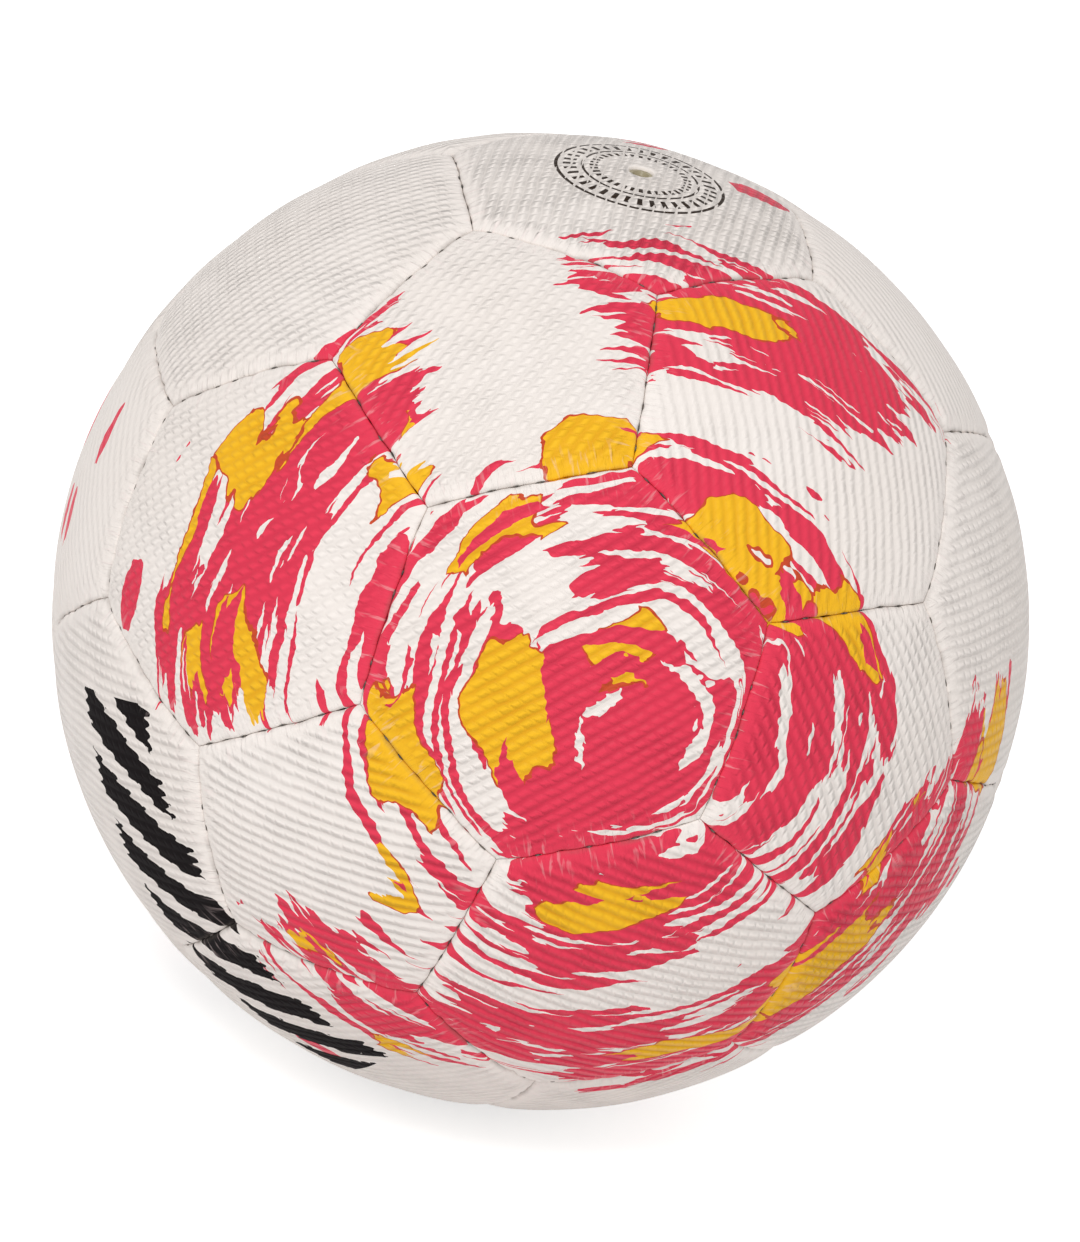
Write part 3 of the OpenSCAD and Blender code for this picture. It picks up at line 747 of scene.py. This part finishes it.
def printed_grip():
    """Polyurethane-coated synthetic leather, embossed with a grip and screen-printed: pale, matt and
    slightly tacky, with rows of raised grains that catch the light, a smooth creased border at the seams,
    and ink that lies in its relief."""
    material, tree = start("embossed_printed_polyurethane")
    out = add(tree, "OutputMaterial")
    place = add(tree, "TexCoord", out="Object")
    grip_height, pressed = grip_relief(tree)
    from_seam, crease, crease_fade = seam_creases(tree)
    crease_height = add(tree, "Math", {0: crease, 1: crease_fade}, operation="MULTIPLY")

    # Fine pebble of the coating, drawn at about 0.6 mm, coarser than the real one so that it shows
    pebble = add(tree, "TexNoise", {"Vector": place, "Scale": 1 / (0.6 * MM), "Detail": 1})
    bump = add(tree, "Bump", {"Strength": 1, "Distance": 0.045 * MM, "Height": pebble})
    bump = add(tree, "Bump", {"Strength": 1, "Distance": 0.5 * MM, "Height": crease_height, "Normal": bump})
    bump = add(tree, "Bump",
               {"Strength": 1, "Distance": GRIP_HEIGHT * MM, "Height": grip_height, "Normal": bump})

    # Bare coating: warm white in slow patches, with painted shade darkening the valleys, and scuffs on the
    # grains
    patches = add(tree, "TexNoise", {"Vector": place, "Scale": 1 / (38 * MM), "Detail": 3})
    coat = add(tree, "Mix", {"Factor": patches, 6: srgb("F5EEE9"), 7: srgb("ECE3DC")}, data_type="RGBA",
               out=2)
    valley = add(tree, "MapRange",
                 {"Value": grip_height, "From Min": 0, "From Max": 0.42, "To Min": 1, "To Max": 0})
    valley = add(tree, "Math", {0: valley, 1: pressed}, operation="MULTIPLY")
    # Painted shade: the coating turns grey in the valleys between the grains, where the relief would shade
    # it
    painted_valley_shade = add(tree, "Math", {0: valley, 1: 0.2}, operation="MULTIPLY")
    coat = add(tree, "Mix", {"Factor": painted_valley_shade, 6: coat, 7: srgb("8F867E")}, data_type="RGBA", out=2)

    scuffs = add(tree, "TexNoise", {"Vector": place, "Scale": 1 / (11 * MM), "Detail": 4, "Roughness": 0.6})
    scuffs = add(tree, "MapRange",
                 {"Value": scuffs, "From Min": 0.62, "From Max": 0.78, "To Min": 0, "To Max": 0.28})
    scuffs = add(tree, "Math", {0: scuffs, 1: grip_height}, operation="MULTIPLY")
    coat = add(tree, "Mix", {"Factor": scuffs, 6: coat, 7: srgb("7C746C")}, data_type="RGBA", out=2)

    drawn, brushed, flat_way = round_the_hub(tree, place, grip_height)
    ink, inked = printed_shards(tree, coat, valley, drawn, brushed)
    marks, kept_clear = valve_rings(tree, place, grip_height)
    ink = add(tree, "Mix", {"Factor": kept_clear, 6: ink, 7: coat}, data_type="RGBA", out=2)
    bars = black_bars(tree, drawn, grip_height, flat_way)
    for black, colour in ((bars, BAR_INK), (marks, VALVE_INK)):
        ink = add(tree, "Mix", {"Factor": black, 6: ink, 7: srgb(colour)}, data_type="RGBA", out=2)

    # Ink cracks along the creases by the seams and lets the pale coating through, and dirt gathers in the
    # seams
    cracked = add(tree, "MapRange",
                  {"Value": crease, "From Min": 0.6, "From Max": 0.7, "To Min": 0, "To Max": 0.28})
    cracked = add(tree, "Math", {0: cracked, 1: crease_fade}, operation="MULTIPLY")
    ink = add(tree, "Mix", {"Factor": cracked, 6: ink, 7: srgb("F1DAD8")}, data_type="RGBA", out=2)
    dirt = add(tree, "TexNoise", {"Vector": place, "Scale": 1 / (7 * MM), "Detail": 3})
    dirt = add(tree, "MapRange",
               {"Value": dirt, "From Min": 0.42, "From Max": 0.72, "To Min": 0, "To Max": 0.4})
    dirt_fade = add(tree, "MapRange",
                    {"Value": from_seam, "From Min": 0.1, "From Max": 1.1, "To Min": 1, "To Max": 0},
                    interpolation_type="SMOOTHSTEP")
    dirt = add(tree, "Math", {0: dirt, 1: dirt_fade}, operation="MULTIPLY")
    ink = add(tree, "Mix", {"Factor": dirt, 6: ink, 7: srgb("6E665E")}, data_type="RGBA", out=2)

    # Coloured ink is a little smoother than the coating, and black ink the dullest
    rough = add(tree, "MapRange", {"Value": inked, "To Min": 0.5, "To Max": 0.44})
    rough = add(tree, "Math", {0: bars, 1: 0.4, 2: rough}, operation="MULTIPLY_ADD")
    surface = add(tree, "BsdfPrincipled",
                  {"Base Color": ink, "Roughness": rough, "IOR": 1.5, "Specular IOR Level": 0.07,
                   "Normal": bump})
    tree.links.new(surface, out.inputs["Surface"])
    return material


def waxed_thread():
    """Waxed polyester thread: dark, dull, with the slant of its twist."""
    material, tree = start("waxed_polyester_thread")
    out = add(tree, "OutputMaterial")
    place = add(tree, "TexCoord", out="Object")
    twist = add(tree, "TexWave", {"Vector": place, "Scale": 1 / (2.4 * MM), "Distortion": 2},
                bands_direction="DIAGONAL")
    colour = add(tree, "Mix", {"Factor": twist, 6: srgb("3A342E"), 7: srgb("6A6056")}, data_type="RGBA",
                 out=2)
    bump = add(tree, "Bump", {"Strength": 0.6, "Distance": 0.05 * MM, "Height": twist})
    surface = add(tree, "BsdfPrincipled", {"Base Color": colour, "Roughness": 0.62, "Normal": bump})
    tree.links.new(surface, out.inputs["Surface"])
    return material


def closed_foam():
    """Closed-cell foam behind the skin: pale and dry, with fine pores."""
    material, tree = start("closed_cell_foam")
    out = add(tree, "OutputMaterial")
    place = add(tree, "TexCoord", out="Object")
    pores = add(tree, "TexVoronoi", {"Vector": place, "Scale": 1 / (0.7 * MM)})
    colour = add(tree, "Mix", {"Factor": pores, 6: srgb("D8D0BE"), 7: srgb("F3EFE6")}, data_type="RGBA",
                 out=2)
    bump = add(tree, "Bump", {"Strength": 0.7, "Distance": 0.1 * MM, "Height": pores})
    surface = add(tree, "BsdfPrincipled", {"Base Color": colour, "Roughness": 0.85, "Normal": bump})
    tree.links.new(surface, out.inputs["Surface"])
    return material


def laminated_cloth():
    """Layers of polyester and cotton cloth stuck together: a plain weave of about one thread a
    millimetre."""
    material, tree = start("laminated_lining_cloth")
    out = add(tree, "OutputMaterial")
    place = add(tree, "TexCoord", out="Object")
    weave = [add(tree, "TexWave", {"Vector": place, "Scale": 1 / (6 * MM), "Distortion": 0.4},
                 bands_direction=way) for way in ("X", "Y")]
    weave = add(tree, "Math", {0: weave[0], 1: weave[1]}, operation="MULTIPLY")
    colour = add(tree, "Mix", {"Factor": weave, 6: srgb("B7AB92"), 7: srgb("E3DAC6")}, data_type="RGBA",
                 out=2)
    bump = add(tree, "Bump", {"Strength": 0.8, "Distance": 0.15 * MM, "Height": weave})
    surface = add(tree, "BsdfPrincipled", {"Base Color": colour, "Roughness": 0.9, "Normal": bump})
    tree.links.new(surface, out.inputs["Surface"])
    return material


def rubber(name, dark, light, roughness, grain):
    """Rubber in its mould's dull finish: even, with a faint bloom and a fine grain."""
    material, tree = start(name)
    out = add(tree, "OutputMaterial")
    place = add(tree, "TexCoord", out="Object")
    bloom = add(tree, "TexNoise", {"Vector": place, "Scale": 1 / (9 * MM), "Detail": 4})
    fine = add(tree, "TexNoise", {"Vector": place, "Scale": 1 / (grain * MM), "Detail": 2})
    colour = add(tree, "Mix", {"Factor": bloom, 6: srgb(dark), 7: srgb(light)}, data_type="RGBA", out=2)
    bump = add(tree, "Bump", {"Strength": 0.5, "Distance": 0.05 * MM, "Height": fine})
    surface = add(tree, "BsdfPrincipled",
                  {"Base Color": colour, "Roughness": roughness, "IOR": 1.52, "Normal": bump})
    tree.links.new(surface, out.inputs["Surface"])
    return material


def inked_panels(material):
    """The 32 panels' faces with their turned-in edges, which stand in for the plain ones of the CAD."""
    nets = {}
    for sides in (6, 5):
        mesh = flat_net(sides)
        turned = read_net(mesh, sides)
        number = 1 if sides == 6 else 20
        place, *_ = lay_panel(number, turned, plain=True)
        mesh.vertices.foreach_set("co", place.ravel())
        bm = bmesh.new()
        bm.from_mesh(mesh)
        bmesh.ops.recalc_face_normals(bm, faces=bm.faces)
        if bm.calc_volume(signed=True) < 0:
            bmesh.ops.reverse_faces(bm, faces=bm.faces)
        bm.to_mesh(mesh)
        bm.free()
        nets[sides] = (mesh, turned)
    for number, (name, sides, _, _) in enumerate(PANELS):
        net, turned = nets[sides]
        mesh = net.copy()
        mesh.name = f"{name}_skin"
        place, grip, seam, pressed = lay_panel(number, turned)
        mesh.vertices.foreach_set("co", place.ravel())
        corner = np.empty(len(mesh.loops), int)
        mesh.loops.foreach_get("vertex_index", corner)
        for label, values in (("grip", grip), ("seam", seam)):
            layer = mesh.uv_layers.new(name=label)
            layer.data.foreach_set("uv", values[corner].ravel())
        mesh.attributes.new("pressed", "FLOAT", "POINT").data.foreach_set("value", pressed)
        beaded = np.full(len(pressed), grip_beading(number))
        mesh.attributes.new("beaded", "FLOAT", "POINT").data.foreach_set("value", beaded)
        mesh.polygons.foreach_set("use_smooth", np.ones(len(mesh.polygons), bool))
        mesh.materials.append(material)
        mesh.update()
        piece = bpy.data.objects.new(f"{name}_skin", mesh)
        bpy.context.scene.collection.objects.link(piece)
        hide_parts(name)
        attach(piece, "root")
    for net, _ in nets.values():
        bpy.data.meshes.remove(net)


def seam_stitches(material):
    """The short lengths of thread that show in the seams, where each stitch pulls the edges apart."""
    bm = bmesh.new()
    for number, (_, sides, centre, _) in enumerate(PANELS):
        for k in range(sides):
            middle, inward, other = seam_of(number, k)
            if other < number:
                continue
            tangent = np.cross(inward, middle)
            tangent *= 1 if tangent @ np.cross(centre, middle) > 0 else -1
            hand = hand_of_seam(number, other)
            for n in range(STITCHES):
                if not hand["seen"][n]:
                    continue
                along = STITCH_PLACES[n] + hand["shift"][n]
                out = math.cos(along / BALL_R) * middle + math.sin(along / BALL_R) * tangent
                lie = unit(tangent - (tangent @ out) * out)
                depth = THREAD_DEPTH + STITCH_DIP * hand["pull"][n]
                spot = Vector((BALL_R - depth) * out + seam_wander(hand, along) * inward)
                turned = Matrix((lie, np.cross(out, lie), out)).transposed().to_4x4()
                half_length, half_width, half_height = THREAD_HALVES
                stretch = Matrix.Diagonal((half_length * hand["length"][n], half_width, half_height, 1))
                matrix = Matrix.Scale(MM, 4) @ Matrix.Translation(spot) @ turned @ stretch
                bmesh.ops.create_uvsphere(bm, u_segments=6, v_segments=5, radius=1, matrix=matrix)
    bmesh.ops.recalc_face_normals(bm, faces=bm.faces)
    mesh = bpy.data.meshes.new("seam_stitches")
    bm.to_mesh(mesh)
    bm.free()
    mesh.polygons.foreach_set("use_smooth", np.ones(len(mesh.polygons), bool))
    mesh.materials.append(material)
    piece = bpy.data.objects.new("seam_stitches", mesh)
    bpy.context.scene.collection.objects.link(piece)
    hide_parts("hexagon_seam_thread", "pentagon_seam_thread")
    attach(piece, "root")


def dress_inside():
    """Gives the pieces under the skin their foam, cloth and rubber."""
    foam, cloth = closed_foam(), laminated_cloth()
    latex = rubber("natural_latex", "B08C58", "CBAE7E", 0.45, 1.2)
    butyl = rubber("moulded_butyl_rubber", "1F1D1B", "34302C", 0.6, 0.4)
    oiled = rubber("oiled_rubber_plug", "8A8064", "A69C7E", 0.38, 0.4)
    for material, nodes in (
        (foam, ("valve_foam_pad", "hexagon_foam_pads", "pentagon_foam_pads")),
        (cloth, ("valve_lining", "hexagon_linings", "pentagon_linings", "valve_backing_ring")),
        (latex, ("bladder", "valve_patch")),
        (butyl, ("valve_tube",)),
        (oiled, ("valve_plug",)),
    ):
        for node in nodes:
            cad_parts[node].material_slots[0].material = material


# Light: how bright the surround is, and the lamps as name, place to the camera's right, up and towards it in
# metres, width and power
WORLD_LEVEL = 0.65
LAMPS = (
    ("upper_left_softbox", (-0.1, 0.62, 1.5), 0.5, 10.8),
)


def seen_directly(tree):
    """1 for the rays that see the white surround itself: the camera's, and those that a gloss or glass sends
    on."""
    paths = add(tree, "LightPath").node.outputs
    seen = add(tree, "Math", {0: paths["Is Camera Ray"], 1: paths["Is Glossy Ray"]}, operation="MAXIMUM")
    return add(tree, "Math", {0: seen, 1: paths["Is Transmission Ray"]}, operation="MAXIMUM")


def make_stage():
    """A plain pale floor that the camera sees as white and that keeps the ball's shadow, a white surround
    and one soft lamp."""
    material, tree = start("pale_floor")
    out = add(tree, "OutputMaterial")
    lit = add(tree, "BsdfDiffuse", {"Color": srgb("F4F4F4")})
    glow = add(tree, "Emission", {"Color": (1, 1, 1, 1), "Strength": 0.6})
    both = add(tree, "AddShader", {0: lit, 1: glow})
    seen = add(tree, "MixShader", {0: seen_directly(tree), 1: lit, 2: both})
    tree.links.new(seen, out.inputs["Surface"])
    bm = bmesh.new()
    bmesh.ops.create_grid(bm, x_segments=1, y_segments=1, size=4)
    bmesh.ops.translate(bm, verts=bm.verts, vec=(0, 0, -BALL_R * MM))
    mesh = bpy.data.meshes.new("floor")
    bm.to_mesh(mesh)
    bm.free()
    mesh.materials.append(material)
    floor = bpy.data.objects.new("floor", mesh)
    bpy.context.scene.collection.objects.link(floor)

    world = bpy.data.worlds.new("surround")
    bpy.context.scene.world = world
    world.use_nodes = True
    tree = world.node_tree
    tree.nodes.clear()
    out = add(tree, "OutputWorld")
    level = add(tree, "MapRange", {"Value": seen_directly(tree), "To Min": WORLD_LEVEL, "To Max": 1})
    sky = add(tree, "Background", {"Color": (1, 1, 1, 1), "Strength": level})
    tree.links.new(sky, out.inputs["Surface"])

    right, up = camera_axes()
    for name, place, size, power in LAMPS:
        spot = place[0] * right + place[1] * up + place[2] * TO_CAMERA
        data = bpy.data.lights.new(name, "AREA")
        data.shape = "DISK"
        data.size = size
        data.energy = power
        lamp = bpy.data.objects.new(name, data)
        bpy.context.scene.collection.objects.link(lamp)
        lamp.matrix_world = Matrix.Translation(spot) @ spot.to_track_quat("Z", "Y").to_matrix().to_4x4()


bpy.context.scene.view_settings.view_transform = "Standard"
make_camera()
make_stage()
inked_panels(printed_grip())
seam_stitches(waxed_thread())
dress_inside()
